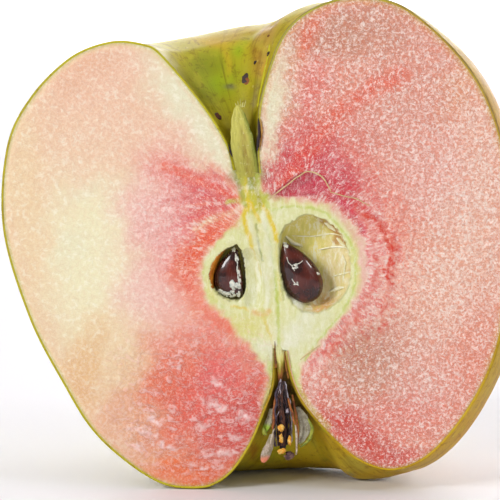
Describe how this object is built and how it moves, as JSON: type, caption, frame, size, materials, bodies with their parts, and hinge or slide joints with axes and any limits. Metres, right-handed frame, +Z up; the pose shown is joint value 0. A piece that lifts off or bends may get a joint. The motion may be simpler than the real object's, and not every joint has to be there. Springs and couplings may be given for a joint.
{
  "type": "apple half",
  "caption": "Apple cut in half lengthwise through stem, core and calyx, standing on the lobes round its calyx with the cut face forward.",
  "frame": {"origin": "middle of the bounding box on the surface that the apple half stands on", "axes": "+Z up; the cut face is vertical and faces -Y; +X is to the right seen from the front; the core's axis leans 7 degrees to -X"},
  "size_m": [0.0698, 0.0374, 0.0663],
  "materials": {
    "flesh": "moist cut flesh, cream to coral and pink, with yellow-green waxy skin behind",
    "stem": "pale green woody stem, cut lengthwise",
    "seed": "glossy dark brown seed coat",
    "dry_flower": "dry dark purple-brown styles",
    "thread": "dry orange-brown filament",
    "pollen": "dry orange-yellow pollen sac",
    "sepal": "dry hairy grey-green sepal with a bright green edge"
  },
  "bodies": {
    "root": {"apple_flesh": "flesh", "stem": "stem", "seed_right": "seed", "seed_left": "seed", "style_bundle": "dry_flower", "filament_left": "thread", "filament_right": "thread", "filament_front": "thread", "sepal_left": "sepal", "sepal_right": "sepal", "sepal_tip": "sepal", "anther_top": "pollen", "anther_middle": "pollen", "anther_side": "pollen", "anther_low": "pollen", "anther_dark": "dry_flower"}
  },
  "joints": []
}
